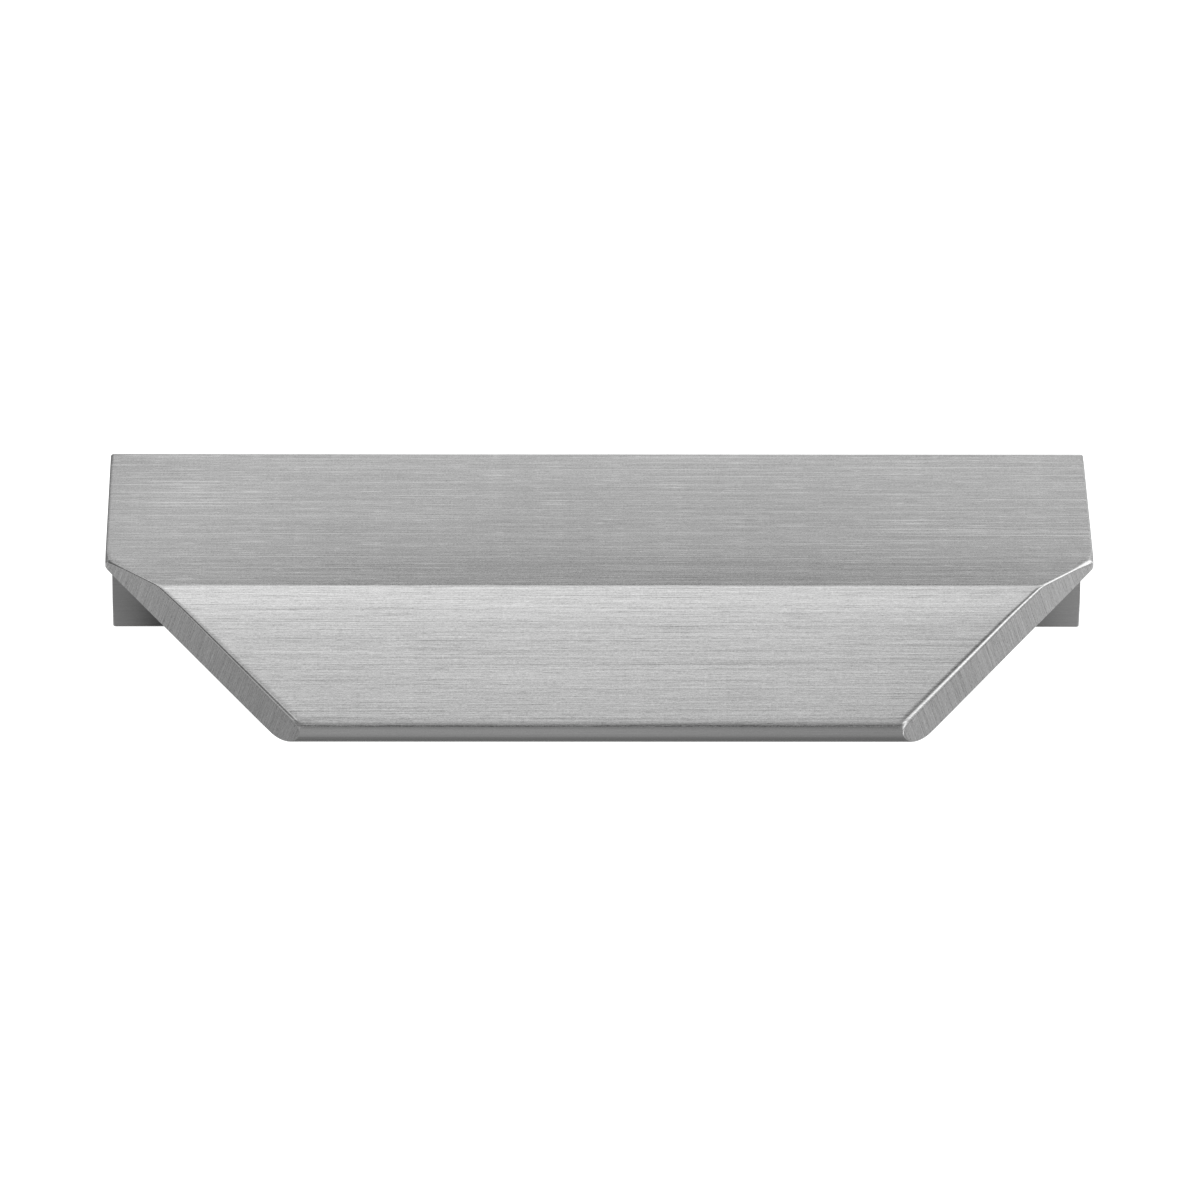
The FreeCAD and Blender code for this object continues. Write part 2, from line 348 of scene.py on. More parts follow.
def sawn_outline(y):
    """The right end seen from above: how far across it lies at each y, and which way it faces. It runs
    square, turns with the mitre's round, and goes on at the mitre's angle."""
    ahead = np.maximum(ROUND_START - y, 0.0)
    turn = np.arcsin(np.minimum(ahead / MITRE_ROUND, math.sin(MITRE)))
    past_round = np.maximum(ahead - ROUND_DEPTH, 0.0)
    across = HALF_LENGTH - MITRE_ROUND * (1 - np.cos(turn)) - past_round / math.tan(MITRE)
    facing = np.stack([np.cos(turn), -np.sin(turn), np.zeros_like(turn)], axis=1)
    return across, facing


def rim_grid(points, outward, offset):
    """The rim at the right end: a curve of the second degree from each point of the section, the rim's
    reach short of the end, by way of the sharp edge, to the sawn face the rim's drop further in. The
    outward direction stays at right angles to that curve."""
    along = rim_size(points, outward, TOP_RIM_REACH)[:, None] * (1.0, 0.0, 0.0)
    low = points - rim_size(points, outward, TOP_RIM_DROP)[:, None] * offset
    across, _ = sawn_outline(points[:, 0])
    low_across, facing = sawn_outline(low[:, 0])
    edge = np.column_stack([across, points])
    end = np.column_stack([low_across, low])
    outward = np.column_stack([np.zeros(len(points)), outward])
    spin = np.linspace(0.0, 1.0, RIM_STEPS + 1)[None, :, None]
    grid = edge[:, None] - (1 - spin) ** 2 * along[:, None] + spin ** 2 * (end - edge)[:, None]
    keep = (facing * along).sum(axis=1)[:, None, None]
    gain = (outward * (edge - end)).sum(axis=1)[:, None, None]
    normal = (1 - spin) * keep * outward[:, None] + spin * gain * facing[:, None]
    return grid, normal / np.linalg.norm(normal, axis=-1, keepdims=True), facing


def along_sawn(points):
    """How far a point of the sawn end lies along its outline: as far as it lies forward, and more on the
    mitre, where a step forward is a longer step on the slant."""
    ahead = np.maximum(-points[..., 1] - SEAT_DEPTH, 0.0)
    return -points[..., 1] + ahead * (1 / math.sin(MITRE) - 1)


def sawn_brush(points):
    """Brush coordinates of the sawn ends: the lines cross the tab's thickness at right angles."""
    lean = math.atan(math.tan(TAB_SLOPE) * math.sin(MITRE))
    level = along_sawn(points)
    along_line = level * math.sin(lean) + points[..., 2] * math.cos(lean)
    across_line = level * math.cos(lean) - points[..., 2] * math.sin(lean)
    return np.stack([along_line, across_line], axis=-1)


# A patch is a grid of points, its outward directions, its brush coordinates and its finish


def mirrored(patch):
    """The same patch at the left end."""
    points, outward, brush, finish = patch
    flip = np.array([-1.0, 1.0, 1.0])
    return points * flip, outward * flip, brush * (-1.0, 1.0), finish


def backwards(stretch):
    """A run of the section from its end to its start, with its finish."""
    run, finish = stretch
    return tuple(part[::-1] for part in run), finish


def body_patch(points, outward, reach, round_section, finish):
    """A run of the section carried along the pull, out to where its rims start."""
    lines = length_lines()
    grid = (len(points), len(lines))
    along = reach[:, None] * lines
    body = np.concatenate([along[..., None], np.broadcast_to(points[:, None], (*grid, 2))], axis=-1)
    normal = np.column_stack([np.zeros(len(points)), outward])
    brush = np.stack([along, np.broadcast_to(round_section[:, None], grid)], axis=-1)
    return body, np.broadcast_to(normal[:, None], (*grid, 3)), brush, finish


def rim_patches(rim, normal, round_section, finish):
    """The rims of a run at both ends: the brushing runs over their first steps, and their last ones are
    as the sawn face."""
    across = round_section[:, None] + np.linspace(0.0, LOW_RIM, RIM_STEPS + 1)
    brush = np.stack([rim[..., 0], across], axis=-1)
    parts = [(slice(BRUSHED_RIM_STEPS + 1), finish, brush),
             # the middle steps take the rims' lighter tone: worn bare metal and a painted highlight
             (slice(BRUSHED_RIM_STEPS, SAWN_RIM_START + 1), RIM, brush),
             (slice(SAWN_RIM_START, None), SAWN, sawn_brush(rim))]
    patches = []
    for part, part_finish, part_brush in parts:
        patch = (rim[:, part], normal[:, part], part_brush[:, part], part_finish)
        patches += [patch, mirrored(patch)]
    return patches


def sawn_patches(outer_edges, inner_edges):
    """The sawn ends: even steps straight across the strip, from its outer to its inner side."""
    share = np.linspace(0.0, 1.0, WALL_STEPS + 1)[None, :, None]
    patches = []
    for (top, top_facing), (low, low_facing) in zip(outer_edges, inner_edges):
        top, top_facing = top[::-1], top_facing[::-1]
        cap = top[:, None] + share * (low - top)[:, None]
        normal = top_facing[:, None] + share * (low_facing - top_facing)[:, None]
        normal /= np.linalg.norm(normal, axis=-1, keepdims=True)
        patch = (cap, normal, sawn_brush(cap), SAWN)
        patches += [patch, mirrored(patch)]
    return patches


def strip_patches():
    """The pull without its screw holes: each run of the section, once round from the foot, carried along
    the pull, with its rims, and the sawn ends."""
    pairs, foot, nose = section_runs()
    outer = [(run, finish) for run, finish, _, _ in pairs]
    inner = [(run, finish) for _, _, run, finish in pairs]
    loop = [foot] + inner + [backwards(nose)] + [backwards(stretch) for stretch in outer[::-1]]

    patches, edges = [], []
    travelled = 0.0
    for index, ((points, outward), finish) in enumerate(loop):
        before = loop[index - 1][0][1][-1]
        after = loop[(index + 1) % len(loop)][0][1][0]
        rim, rim_normal, facing = rim_grid(points, outward, offset_of(outward, before, after))
        steps = np.linalg.norm(np.diff(points, axis=0), axis=1)
        round_section = travelled + np.concatenate([[0.0], np.cumsum(steps)])
        travelled = round_section[-1]
        patches.append(body_patch(points, outward, rim[:, 0, 0], round_section, finish))
        patches += rim_patches(rim, rim_normal, round_section, finish)
        edges.append((rim[:, -1], facing))

    count = len(pairs)
    return patches + sawn_patches(edges[count + 2:][::-1], edges[1:count + 1])


def ring_patch(side, y, facing, radius):
    """The flange's face between a screw hole and its square field, on one side: even steps from each
    point of the circle out to the square's side at the same angle."""
    angle = hole_angles()
    ray = np.stack([np.cos(angle), np.sin(angle)], axis=1)
    to_square = HOLE_FIELD / np.abs(ray).max(axis=1)
    share = np.linspace(0.0, 1.0, WALL_STEPS + 1)
    reach = radius + share[None, :] * (to_square - radius)[:, None]
    plane = ray[:, None, :] * reach[:, :, None] + (side * HOLE_ACROSS, HOLE_LEVEL)
    points = np.stack([plane[..., 0], np.full(reach.shape, y), plane[..., 1]], axis=-1)
    return points, np.tile(facing, (*reach.shape, 1)), plane, SATIN


def bore_patch(side, start, end):
    """A screw hole's wall between two rings, each given by y and radius: a straight bore or a sink. The
    outward direction looks to the hole's middle, and leans as much as the wall does."""
    share, angle = np.meshgrid(np.linspace(0.0, 1.0, BORE_STEPS + 1), hole_angles())
    y = start[0] + share * (end[0] - start[0])
    radius = start[1] + share * (end[1] - start[1])
    cos, sin = np.cos(angle), np.sin(angle)
    points = np.stack([side * HOLE_ACROSS + radius * cos, y, HOLE_LEVEL + radius * sin], axis=-1)
    run = math.hypot(end[0] - start[0], end[1] - start[1])
    inward, lean = (end[0] - start[0]) / run, (end[1] - start[1]) / run
    outward = np.stack([-inward * cos, np.full(y.shape, lean), -inward * sin], axis=-1)
    return points, outward, np.stack([radius * angle, y], axis=-1), SATIN


def hole_patches():
    """Both screw holes: the flange's two faces round them, their bores, and their sinks at the back, which
    are as deep as their radius is larger than the bore's."""
    sink_start = FLANGE_BACK - (SINK_RADIUS - HOLE_RADIUS)
    patches = []
    for side in (-1, 1):
        patches.append(ring_patch(side, 0.0, (0.0, -1.0, 0.0), HOLE_RADIUS))
        patches.append(ring_patch(side, FLANGE_BACK, (0.0, 1.0, 0.0), SINK_RADIUS))
        patches.append(bore_patch(side, (0.0, HOLE_RADIUS), (sink_start, HOLE_RADIUS)))
        patches.append(bore_patch(side, (sink_start, HOLE_RADIUS), (FLANGE_BACK, SINK_RADIUS)))
    return patches


def in_hole_field(middle, normal):
    """Which faces lie in a hole's square field on the flange's two sides, where the rings take over."""
    across = np.abs(np.abs(middle[:, 0]) - HOLE_ACROSS) < HOLE_FIELD
    level = np.abs(middle[:, 2] - HOLE_LEVEL) < HOLE_FIELD
    return across & level & (np.abs(normal[:, 1]) > SAME_WAY)


def grid_faces(rows, columns):
    """The four-sided faces of a grid of points, row after row."""
    index = np.arange(rows * columns).reshape(rows, columns)
    return np.stack([index[:-1, :-1], index[1:, :-1], index[1:, 1:], index[:-1, 1:]], axis=-1)


def patch_faces(patch, in_strip):
    """A patch's faces, wound so that they face outwards. The strip leaves out those that a hole takes."""
    points, outward = patch[0], patch[1]
    quads = grid_faces(*points.shape[:2]).reshape(-1, 4)
    corners = points.reshape(-1, 3)[quads]
    normal = np.cross(corners[:, 2] - corners[:, 0], corners[:, 3] - corners[:, 1])
    if (normal * outward.reshape(-1, 3)[quads[:, 0]]).sum() < 0:
        quads = quads[:, ::-1]
    if in_strip:
        unit = normal / np.linalg.norm(normal, axis=1, keepdims=True)
        quads = quads[~in_hole_field(corners.mean(axis=1), unit)]
    return quads


def build_pull(name, finishes):
    """Joins the patches into one closed mesh: points at one place become one vertex, and each face keeps
    its own patch's outward directions and brush coordinates at its corners."""
    strip, holes = strip_patches(), hole_patches()
    patches = strip + holes
    faces = [patch_faces(patch, True) for patch in strip] + [patch_faces(patch, False) for patch in holes]
    starts = np.cumsum([0] + [patch[0].shape[0] * patch[0].shape[1] for patch in patches])
    quads = np.concatenate([face + start for face, start in zip(faces, starts)])
    points = np.concatenate([patch[0].reshape(-1, 3) for patch in patches])
    outward = np.concatenate([patch[1].reshape(-1, 3) for patch in patches])
    brush = np.concatenate([patch[2].reshape(-1, 2) for patch in patches])
    finish = np.concatenate([np.full(len(face), patch[3]) for face, patch in zip(faces, patches)])

    used = np.unique(quads)
    places = np.floor(points[used] / WELD + WELD_SHIFT).astype(np.int64)
    _, first, where = np.unique(places, axis=0, return_index=True, return_inverse=True)
    vertex_of = np.zeros(len(points), np.int64)
    vertex_of[used] = where.ravel()
    vertices = points[used][first]
    corners = vertex_of[quads]

    mesh = bpy.data.meshes.new(name)
    mesh.vertices.add(len(vertices))
    mesh.vertices.foreach_set("co", vertices.astype(np.float32).ravel())
    mesh.loops.add(corners.size)
    mesh.loops.foreach_set("vertex_index", corners.astype(np.int32).ravel())
    mesh.polygons.add(len(corners))
    mesh.polygons.foreach_set("loop_start", np.arange(0, corners.size, 4, dtype=np.int32))
    mesh.polygons.foreach_set("material_index", finish.astype(np.int32))
    mesh.polygons.foreach_set("use_smooth", np.ones(len(corners), bool))
    for material in finishes:
        mesh.materials.append(material)
    uv_map = mesh.uv_layers.new(name="brush")
    uv_map.data.foreach_set("uv", brush[quads].astype(np.float32).ravel())
    mesh.update(calc_edges=True)
    mesh.normals_split_custom_set(outward[quads].reshape(-1, 3).tolist())
    piece = bpy.data.objects.new(name, mesh)
    bpy.context.scene.collection.objects.link(piece)
    return piece


# The brush lines: runs per metre, lean in degrees, shift, and part of the grain. The part of the
# shortest ones is each finish's own
SHORTEST_RUN = (5500, 0.0, 0.17)
BRUSH_RUNS = [(2200, 0.0, 0.11, 0.65), (600, 0.9, 0.23, 0.58), (170, -0.5, 0.37, 0.55),
              (45, 0.15, 0.53, 0.55), (12, 0.0, 0.61, 0.62)]
# and the scratches over them: runs per metre, lean in degrees, shift, and part of their strength
SCRATCH_RUNS = [(480, -0.8, 0.71, 0.6), (160, 0.5, 0.79, 0.8), (40, -0.1, 0.83, 1.0),
                (13, 0.0, 0.91, 1.0)]
# how high their noise has to be for a scratch to start, and to be at its full strength
SCRATCH_BAND = (0.74, 0.81)
# how much of a streak's change in tone goes into the roughness
POLISH_CHANGE = 0.1
# a quarter turn, so that reflections spread across the lines
SPREAD_TURN = 0.25


class Finish:
    """A material's nodes, wired as they are made."""

    def __init__(self, name):
        self.material = bpy.data.materials.new(name)
        self.material.use_nodes = True
        self.tree = self.material.node_tree
        self.tree.nodes.clear()

    def node(self, kind, settings=None, **inputs):
        """Makes a node. An input goes by its name, with _ for a space, or by its place: i0, i1 and so on.
        It takes a value, or another node's output."""
        made = self.tree.nodes.new(kind)
        for key, value in (settings or {}).items():
            setattr(made, key, value)
        for key, value in inputs.items():
            socket = made.inputs[int(key[1:]) if key[1:].isdigit() else key.replace("_", " ")]
            if isinstance(value, bpy.types.NodeSocket):
                self.tree.links.new(value, socket)
            else:
                socket.default_value = value
        return made

    def maths(self, operation, first, second, third=0.0):
        """The output of one operation on two values or three."""
        made = self.node("ShaderNodeMath", {"operation": operation}, i0=first, i1=second, i2=third)
        return made.outputs[0]

    def lines(self, brush, along, across, lean, shift):
        """Noise drawn out along the brush: runs of about 1/along metres and lines 1/across wide."""
        placed = self.node("ShaderNodeMapping", Vector=brush, Rotation=(0.0, 0.0, math.radians(lean)),
                           Location=(shift, shift, 0.0))
        drawn = self.node("ShaderNodeVectorMath", {"operation": "MULTIPLY"}, i0=placed.outputs[0],
                          i1=(along, across, 1.0))
        noise = self.node("ShaderNodeTexNoise", {"noise_dimensions": "2D"}, Vector=drawn.outputs[0],
                          Scale=1.0, Detail=0.0)
        return noise.outputs[0]

    def ramp(self, value, band, top):
        """Nothing below the band, top above it, and an even slope across it."""
        return self.node("ShaderNodeMapRange", {"clamp": True}, i0=value, i1=band[0], i2=band[1],
                         i3=0.0, i4=top).outputs[0]


def brushed_finish(name, tone, grain, short_part, line_width, scratch, rough, spread):
    """Brushed metal: thin lines along the brush, in runs from under a millimetre to some centimetres,
    give the tone its streaks and the polish its changes, and sparse scratches lie over them. The tone is
    multiplied by 1, plus the grain's share of each run's noise, plus the scratch, which is below 0 for
    darker scratches. The spread is how much wider reflections are across the lines than along them."""
    finish = Finish(name)
    brush = finish.node("ShaderNodeUVMap", {"uv_map": "brush"}).outputs[0]
    across = 1 / line_width
    streak = 1.0
    for along, lean, shift, part in [(*SHORTEST_RUN, short_part)] + BRUSH_RUNS:
        line = finish.maths("SUBTRACT", finish.lines(brush, along, across, lean, shift), 0.5)
        streak = finish.maths("MULTIPLY_ADD", line, grain * part, streak)
    marked = streak
    for along, lean, shift, part in SCRATCH_RUNS:
        line = finish.lines(brush, along, across, lean, shift)
        marked = finish.maths("ADD", marked, finish.ramp(line, SCRATCH_BAND, scratch * part))
    level = finish.maths("MULTIPLY", marked, tone)
    colour = finish.node("ShaderNodeCombineColor", i0=level, i1=level, i2=level).outputs[0]
    polish = finish.maths("MULTIPLY_ADD", finish.maths("SUBTRACT", streak, 1.0), POLISH_CHANGE, rough)
    tangent = finish.node("ShaderNodeTangent", {"direction_type": "UV_MAP", "uv_map": "brush"}).outputs[0]
    shader = finish.node("ShaderNodeBsdfPrincipled", Base_Color=colour, Roughness=polish, Metallic=1.0,
                         Tangent=tangent, Anisotropic=spread, Anisotropic_Rotation=SPREAD_TURN)
    finish.node("ShaderNodeOutputMaterial", Surface=shader.outputs[0])
    return finish.material


# The tent about the pull, which the metal reflects: its half sizes, its middle, and its grid's steps
TENT_SIZE = (0.25, 0.08, 0.08)
TENT_MIDDLE = (0.0, -0.02, -0.005)
TENT_STEPS = (60, 180)
# its grey round the pull: degrees from the room (0) over the top (90) to the back (180)
TENT_STOPS = [
    (-180, 0.70), (-160, 0.62), (-140, 0.52), (-120, 0.42), (-104, 0.28), (-92, 0.16), (-80, 0.15),
    (-66, 0.27), (-50, 0.34), (-35, 0.38), (-20, 0.39), (-5, 0.38), (7, 0.26), (15, 0.20), (25, 0.42),
    (36, 0.60), (46, 0.70), (54, 0.70), (62, 0.58), (69, 0.50), (76, 0.75), (80, 0.78), (84, 0.86),
    (88, 0.98), (92, 1.08), (96, 1.12), (104, 1.10), (112, 1.0), (118, 0.85), (124, 0.62), (130, 0.39),
    (136, 0.24), (140, 0.26), (144, 0.40), (148, 0.63), (152, 0.71), (160, 0.74), (180, 0.70),
]
# and towards its two ends: degrees above level
LEFT_STOPS = [(-90, 0.30), (-22, 0.365), (0, 0.42), (30, 0.50), (60, 0.70), (90, 0.90)]
RIGHT_STOPS = [(-90, 0.32), (-22, 0.515), (0, 0.50), (30, 0.50), (60, 0.65), (90, 0.80)]
# where the ends' stops take over, in degrees aside: the middle of the passage, and half its width
ENDS_MIDDLE = 42
ENDS_HALF_WIDTH = 8
# how the grey falls from left to right over the top, and to the right low in front: the part of it, and
# the four ends of its band round the pull
TOP_FALL = 0.12
TOP_BAND = (40, 80, 115, 130)
FRONT_FALL = 0.35
FRONT_BAND = (-90, -60, 30, 60)
# how it rises behind, to the left and to the right, and how far aside in the direction's x that starts
LEFT_RISE = 2.0
RIGHT_RISE = 0.5
RISE_START = 0.3
BACK_BAND = (125, 133, 145, 152)
# how much brighter the ends grow towards the back, in full below the first tilt and not above the other:
# it goes by the direction's y, from a place and as far as a reach either way
END_SLANT = 3.3
SLANT_TILTS = (-10, 5)
SLANT_PLACE = -0.07
SLANT_REACH = 0.1

# The tent's spots: direction, core and edge in degrees, and grey. A strip lamp at the right that bends
# down in front of the nose
STRIP_LAMP = [
    ((0.80, -0.38, 0.46), 5, 11, 1.25), ((0.84, -0.18, 0.50), 5, 11, 1.25),
    ((0.88, 0.04, 0.47), 5, 11, 1.25), ((0.83, 0.18, 0.54), 5, 11, 1.20),
    ((0.74, 0.33, 0.58), 4, 10, 1.15), ((0.78, 0.47, 0.42), 5, 11, 1.15),
    ((0.89, 0.42, 0.17), 5, 10, 1.15), ((0.90, 0.43, -0.06), 4, 9, 0.95),
    ((0.70, -0.65, 0.30), 4, 9, 1.15), ((0.73, -0.67, 0.12), 4, 8, 0.90),
    ((0.74, -0.67, -0.06), 4, 9, 1.15), ((0.76, -0.52, -0.38), 4, 9, 1.00),
]
# the dark gap above that lamp
LAMP_GAP = [
    ((0.64, -0.17, 0.75), 4, 10, 0.10), ((0.57, -0.31, 0.76), 5, 11, 0.10),
    ((0.52, -0.62, 0.58), 3, 7, 0.12),
]
# a dark flag at the left, of the lamp's form
LEFT_FLAG = [
    ((-0.80, -0.38, 0.46), 6, 13, 0.10), ((-0.84, -0.18, 0.50), 6, 13, 0.10),
    ((-0.88, 0.04, 0.47), 6, 13, 0.10), ((-0.83, 0.18, 0.54), 5, 12, 0.12),
    ((-0.78, 0.42, 0.46), 5, 12, 0.15), ((-0.90, 0.42, 0.15), 6, 12, 0.12),
    ((-0.90, 0.43, -0.08), 5, 10, 0.15), ((-0.70, -0.65, 0.30), 6, 12, 0.18),
    ((-0.74, -0.67, 0.05), 6, 12, 0.20), ((-0.76, -0.54, -0.36), 4, 9, 0.22),
]
# and a flag behind each end
BACK_FLAGS = [((-0.75, 0.66, 0.03), 12, 25, 0.18), ((0.75, 0.66, 0.03), 8, 18, 0.45)]
TENT_SPOTS = STRIP_LAMP + LAMP_GAP + LEFT_FLAG + BACK_FLAGS

# The painted shade under the pull: low dark slats, seen only in reflections, that stand in for the shaded
# space under the tab as the flange reflects it. Half their length, their first and last slat, and the
# slats' top, height and grid
SHADE_SLAT_REACH = 0.075
SHADE_SLAT_FRONT = -0.0285
SHADE_SLAT_BACK = -0.0015
SLAT_COUNT = 10
SLAT_TOP = FOOT - 0.8 * MM
SLAT_HEIGHT = 2.2 * MM
SLAT_STEPS = 75
# its grey, the depth of the painted shade: millimetres from the pull's middle
SHADE_SLAT_STOPS = [(-60, 0.26), (-52, 0.28), (-49.5, 0.25), (-47.5, 0.11), (-45, 0.02), (-40, 0.01),
               (30, 0.03), (42, 0.08), (46, 0.16), (49, 0.30), (52, 0.38), (60, 0.38)]

# The floor, well below the pull, which is held by its screws
FLOOR_LEVEL = -0.25
FLOOR_REACH = 20.0
FLOOR_GREY = 0.98

# The camera: the point that it looks at, its angles and distance, and its lens and sensor in millimetres
CAMERA_AIM = Vector((0.0000891, -0.02, -0.0046515))
CAMERA_TILT = math.radians(28.0794)
CAMERA_TURN = math.radians(-0.8067)
CAMERA_ROLL = math.radians(0.4076)
CAMERA_DISTANCE = 1.23156
CAMERA_LENS = 358.355
SENSOR_WIDTH = 36.0

# The lamp overhead
LAMP_PLACE = (-0.3, -0.1, 1.4)
LAMP_LEAN = math.radians(-12)
LAMP_SIZE = 1.2
LAMP_POWER = 14.0


def glowing_cloth():
    """A glowing cloth whose grey is painted point by point: the tent's light, and the painted shade of the
    slats under the pull.
    """
    finish = Finish("glowing_cloth")
    grey = finish.node("ShaderNodeAttribute", {"attribute_name": "glow"}).outputs["Fac"]
    light = finish.node("ShaderNodeEmission", Color=(1, 1, 1, 1), Strength=grey)
    finish.node("ShaderNodeOutputMaterial", Surface=light.outputs[0])
    finish.material.cycles.emission_sampling = "NONE"
    return finish.material


def stage_mesh(name, points, faces, material, glow=None):
    """A set piece of the studio. One that glows shapes what the metal reflects and nothing else."""
    mesh = bpy.data.meshes.new(name)
    mesh.from_pydata(np.reshape(points, (-1, 3)).tolist(), [], np.reshape(faces, (-1, 4)).tolist())
    mesh.materials.append(material)
    thing = bpy.data.objects.new(name, mesh)
    bpy.context.scene.collection.objects.link(thing)
    if glow is not None:
        painted = mesh.attributes.new("glow", "FLOAT", "POINT")
        painted.data.foreach_set("value", glow.astype(np.float32).ravel())
        thing.visible_camera = False
        thing.visible_diffuse = False
        thing.visible_shadow = False
        thing.visible_transmission = False


def along_stops(value, stops):
    """The level at a value: even slopes between stops, each a value and its level."""
    return np.interp(value, *zip(*stops))


def in_band(value, ends):
    """1 between the inner two of four ends, 0 outside the outer two, and even slopes between."""
    return np.interp(value, ends, (0.0, 1.0, 1.0, 0.0))


def spot(directions, middle, core, edge):
    """A soft round spot about a direction: 1 within the core angle, 0 past the edge angle, and a smooth
    step between."""
    middle = np.array(middle) / np.linalg.norm(middle)
    angle = np.degrees(np.arccos(np.clip(directions @ middle, -1, 1)))
    return smooth_step((core + edge - 2 * angle) / (edge - core))


def tent_glow(points):
    """The tent's grey at points given from its middle. It follows TENT_STOPS round the pull. Over the top
    it falls from left to right, low in front it falls towards the right end, and behind, in the band that
    shows above the fold, it rises towards both ends. Towards either end it passes with a smooth step into
    that end's stops, which follow the height above level, and below level the ends grow brighter from
    front to back. The lamp's and flags' soft spots lie over all that."""
    directions = points / np.linalg.norm(points, axis=-1, keepdims=True)
    x, y, z = np.moveaxis(directions, -1, 0)
    round_pull = np.degrees(np.arctan2(z, -y))
    tilt = np.degrees(np.arcsin(np.clip(z, -1, 1)))
    aside = np.degrees(np.arcsin(np.clip(np.abs(x), 0, 1)))

    fall = TOP_FALL * in_band(round_pull, TOP_BAND) * x
    fall = fall + FRONT_FALL * in_band(round_pull, FRONT_BAND) * np.maximum(x, 0)
    rise = LEFT_RISE * np.maximum(-x - RISE_START, 0) + RIGHT_RISE * np.maximum(x - RISE_START, 0)
    fall = fall - in_band(round_pull, BACK_BAND) * rise
    middle = along_stops(round_pull, TENT_STOPS) * (1 - fall)

    from_place = np.clip(y - SLANT_PLACE, -SLANT_REACH, SLANT_REACH)
    slant = 1 + np.interp(tilt, SLANT_TILTS, (END_SLANT, 0.0)) * from_place
    end = slant * np.where(x < 0, along_stops(tilt, LEFT_STOPS), along_stops(tilt, RIGHT_STOPS))
    toward_end = smooth_step((aside - ENDS_MIDDLE) / ENDS_HALF_WIDTH)
    glow = middle + toward_end * (end - middle)
    for place, core, edge, level in TENT_SPOTS:
        glow = glow + spot(directions, place, core, edge) * (level - glow)
    return glow


def make_tent(material):
    """A long round tent about the pull: a ball on a grid of tilts and turns, drawn out along the pull."""
    tilts = np.linspace(0, math.pi, TENT_STEPS[0] + 1)
    turns = np.linspace(0, 2 * math.pi, TENT_STEPS[1] + 1)
    tilt, turn = np.meshgrid(tilts, turns, indexing="ij")
    ball = np.stack([np.cos(tilt), np.sin(tilt) * np.cos(turn), np.sin(tilt) * np.sin(turn)], axis=-1)
    points = ball * TENT_SIZE
    faces = grid_faces(len(tilts), len(turns))
    stage_mesh("light_tent", points + TENT_MIDDLE, faces, material, tent_glow(points))


def make_shade_slats(material):
    """Painted shade: low dark slats under the plate that glow only for reflections and stand in for the
    shaded space under the pull, seen in the flange. Their grey follows SHADE_SLAT_STOPS from left to right.
    The slats are low and lie apart, so that the plate's underside still sees down between them."""
    x, y, z = np.meshgrid(np.linspace(-SHADE_SLAT_REACH, SHADE_SLAT_REACH, SLAT_STEPS + 1),
                          np.linspace(SHADE_SLAT_FRONT, SHADE_SLAT_BACK, SLAT_COUNT),
                          (SLAT_TOP - SLAT_HEIGHT, SLAT_TOP), indexing="ij")
    index = np.arange(x.size).reshape(x.shape)
    faces = np.stack([index[:-1, :, 0], index[1:, :, 0], index[1:, :, 1], index[:-1, :, 1]], axis=-1)
    glow = along_stops(x / MM, SHADE_SLAT_STOPS)
    stage_mesh("dark_blind", np.stack([x, y, z], axis=-1), faces, material, glow)


def make_floor():
    """A plain white floor. Seen from below it is clear."""
    finish = Finish("white_floor")
    paint = finish.node("ShaderNodeBsdfDiffuse", Color=(FLOOR_GREY, FLOOR_GREY, FLOOR_GREY, 1.0))
    clear = finish.node("ShaderNodeBsdfTransparent")
    below = finish.node("ShaderNodeNewGeometry").outputs["Backfacing"]
    mixed = finish.node("ShaderNodeMixShader", i0=below, i1=paint.outputs[0], i2=clear.outputs[0])
    finish.node("ShaderNodeOutputMaterial", Surface=mixed.outputs[0])
    corners = [(x * FLOOR_REACH, y * FLOOR_REACH, FLOOR_LEVEL)
               for x, y in ((-1, -1), (1, -1), (1, 1), (-1, 1))]
    stage_mesh("floor", corners, [(0, 1, 2, 3)], finish.material)


def make_camera():
    """The photograph's view: a long lens from the front, a little to the left and well above. The roll
    turns its right and up directions about the line of sight."""
    cos_tilt, sin_tilt = math.cos(CAMERA_TILT), math.sin(CAMERA_TILT)
    cos_roll, sin_roll = math.cos(CAMERA_ROLL), math.sin(CAMERA_ROLL)
    back = Vector((math.sin(CAMERA_TURN) * cos_tilt, -math.cos(CAMERA_TURN) * cos_tilt, sin_tilt))
    level = Vector((math.cos(CAMERA_TURN), math.sin(CAMERA_TURN), 0.0))
    upward = back.cross(level)
    right = level * cos_roll + upward * sin_roll
    up = upward * cos_roll - level * sin_roll
    camera_data = bpy.data.cameras.new("camera")
    camera_data.lens = CAMERA_LENS
    camera_data.sensor_width = SENSOR_WIDTH
    camera = bpy.data.objects.new("camera", camera_data)
    bpy.context.scene.collection.objects.link(camera)
    place = Matrix((right, up, back)).transposed().to_4x4()
    place.translation = CAMERA_AIM + back * CAMERA_DISTANCE
    camera.matrix_world = place
    bpy.context.scene.camera = camera


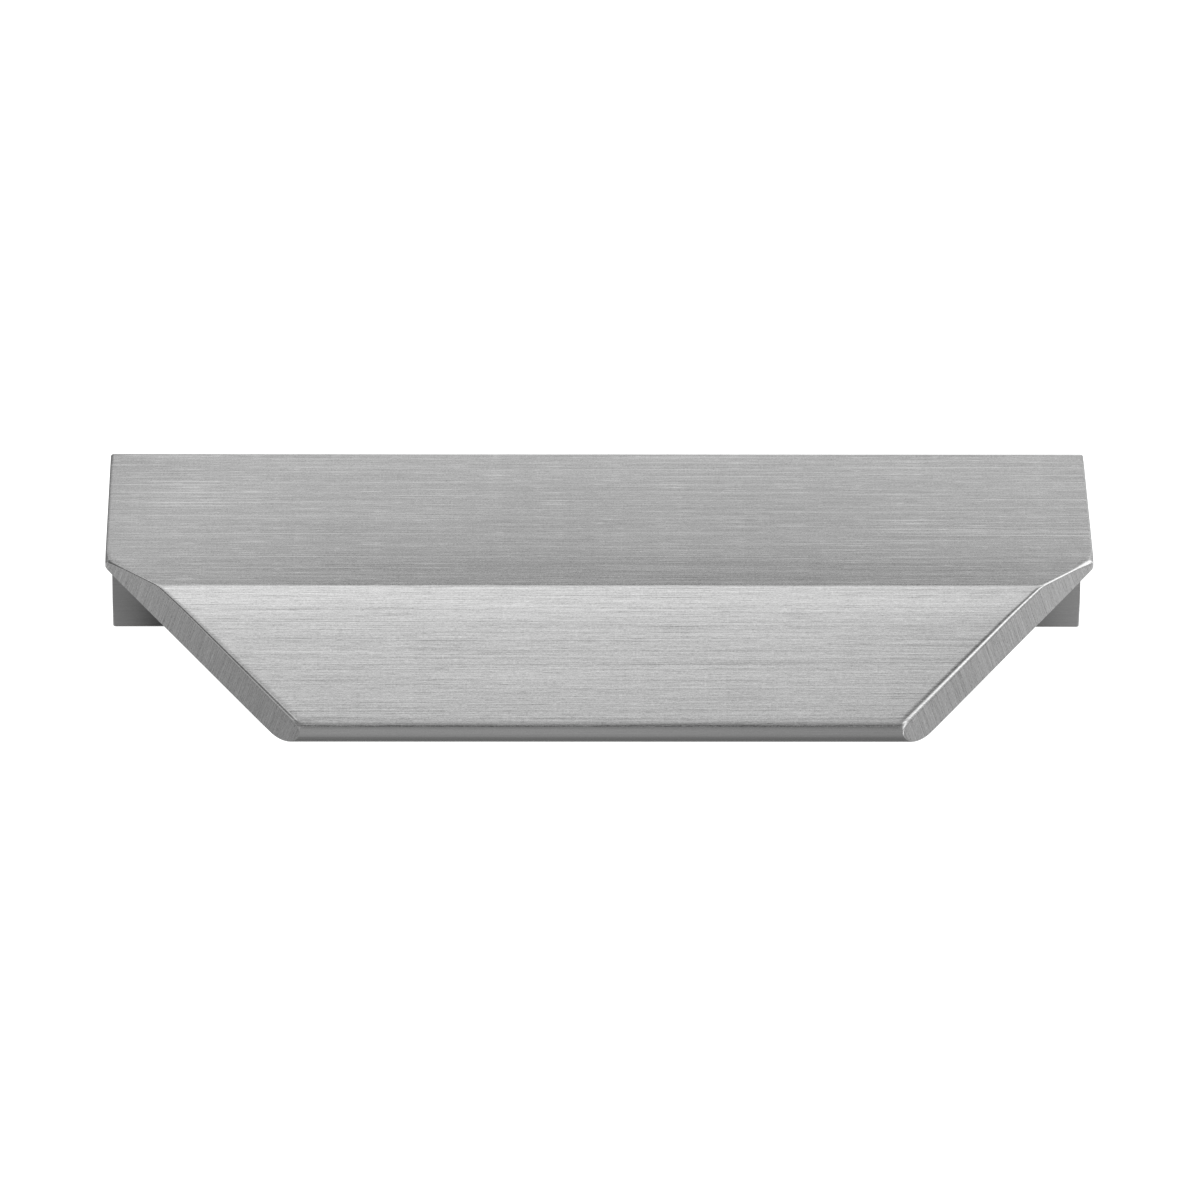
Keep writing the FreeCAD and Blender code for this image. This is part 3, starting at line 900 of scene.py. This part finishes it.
def make_light():
    """Even white surroundings, and one broad lamp overhead for the shadow on the floor."""
    scene = bpy.context.scene
    scene.world = bpy.data.worlds.new("studio")
    scene.world.use_nodes = True
    surroundings = scene.world.node_tree.nodes["Background"]
    surroundings.inputs["Color"].default_value = (1.0, 1.0, 1.0, 1.0)
    surroundings.inputs["Strength"].default_value = 1.0
    lamp = bpy.data.lights.new("overhead", "AREA")
    lamp.shape = "SQUARE"
    lamp.size = LAMP_SIZE
    lamp.energy = LAMP_POWER
    overhead = bpy.data.objects.new("overhead", lamp)
    overhead.location = LAMP_PLACE
    overhead.rotation_euler = (0.0, LAMP_LEAN, 0.0)
    overhead.visible_glossy = False
    scene.collection.objects.link(overhead)


finishes = [
    brushed_finish("plate_brushing", tone=0.62, grain=0.41, short_part=1.1, line_width=0.125 * MM,
                   scratch=0.42, rough=0.25, spread=0.4),
    brushed_finish("tab_brushing", tone=0.655, grain=0.47, short_part=0.75, line_width=0.09 * MM,
                   scratch=-0.20, rough=0.25, spread=0.4),
    brushed_finish("brush_line", tone=0.52, grain=1.10, short_part=0.7, line_width=0.08 * MM,
                   scratch=-0.15, rough=0.22, spread=0.2),
    brushed_finish("nose_satin", tone=0.66, grain=0.10, short_part=0.7, line_width=0.15 * MM,
                   scratch=0.0, rough=0.26, spread=0.2),
    brushed_finish("sawn_brushing", tone=0.66, grain=0.50, short_part=0.7, line_width=0.09 * MM,
                   scratch=0.06, rough=0.30, spread=0.4),
    # the rims' lighter tone is partly worn bare metal and partly a painted highlight that keeps the rims'
    # bright lines bright
    brushed_finish("eased_rim", tone=0.86, grain=0.40, short_part=0.7, line_width=0.10 * MM,
                   scratch=0.0, rough=0.18, spread=0.0),
    brushed_finish("extruded_satin", tone=0.64, grain=0.10, short_part=0.7, line_width=0.15 * MM,
                   scratch=0.0, rough=0.30, spread=0.0),
]
tab_pull = build_pull("brushed_tab_pull", finishes)
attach(tab_pull, "root")
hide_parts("tab_pull")

make_floor()
cloth = glowing_cloth()
make_tent(cloth)
# painted shade under the pull, seen only in the flange's reflection
make_shade_slats(cloth)
make_camera()
make_light()
bpy.context.scene.view_settings.view_transform = "Standard"
